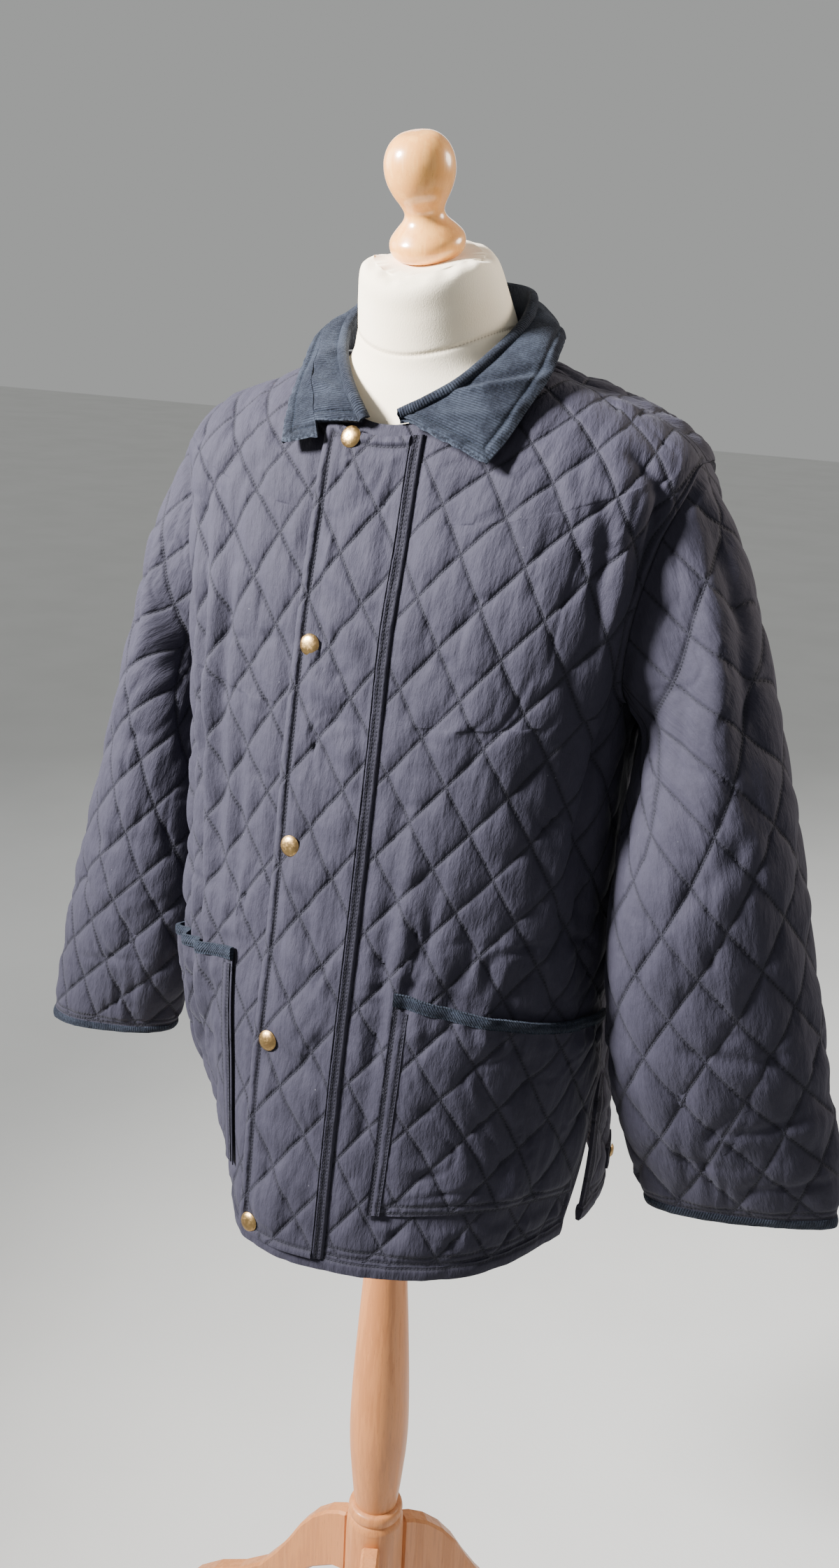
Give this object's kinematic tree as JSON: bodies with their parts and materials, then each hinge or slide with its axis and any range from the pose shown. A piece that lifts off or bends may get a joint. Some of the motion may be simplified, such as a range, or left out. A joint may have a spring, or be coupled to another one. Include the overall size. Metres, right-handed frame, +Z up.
{
  "type": "quilted liner jacket on a dress form stand",
  "caption": "Hip-length diamond-quilted jacket with a corduroy collar, worn by a limbless dress form on a turned wooden stand.",
  "frame": {"origin": "on the floor, under the middle of the whole part's box", "axes": "+Z up, -Y the way the jacket faces, +X towards the wearer's left"},
  "size_m": [0.7772, 0.5093, 1.6068],
  "materials": {
    "navy_quilted_cloth": "matte, peach-skin face, tone-on-tone quilting",
    "navy_corduroy": "fine-wale corduroy",
    "aged_brass": "dulled",
    "cream_form_cloth": "matte jersey",
    "varnished_beech": "gloss varnish",
    "beech": "satin"
  },
  "bodies": {
    "root": {"back": "navy_quilted_cloth", "collar": "navy_corduroy", "cuff_binding_left": "navy_corduroy", "cuff_binding_right": "navy_corduroy", "finial": "varnished_beech", "flap_welt": "navy_quilted_cloth", "form_body": "cream_form_cloth", "front_left": "navy_quilted_cloth", "front_right": "navy_quilted_cloth", "hem_binding_back": "navy_quilted_cloth", "hem_binding_front_left": "navy_quilted_cloth", "hem_binding_front_right": "navy_quilted_cloth", "hub": "beech", "leg_1": "beech", "leg_2": "beech", "leg_3": "beech", "pocket_binding_left": "navy_corduroy", "pocket_binding_right": "navy_corduroy", "pocket_edge_left": "navy_quilted_cloth", "pocket_edge_right": "navy_quilted_cloth", "pocket_left": "navy_quilted_cloth", "pocket_right": "navy_quilted_cloth", "pole": "beech", "sleeve_left": "navy_quilted_cloth", "sleeve_right": "navy_quilted_cloth", "snap_cap_1": "aged_brass", "snap_cap_2": "aged_brass", "snap_cap_3": "aged_brass", "snap_cap_4": "aged_brass", "snap_cap_5": "aged_brass", "storm_flap": "navy_quilted_cloth", "vent_snap_left": "aged_brass", "vent_snap_right": "aged_brass", "vent_tab_left": "navy_quilted_cloth", "vent_tab_right": "navy_quilted_cloth"}
  },
  "joints": []
}
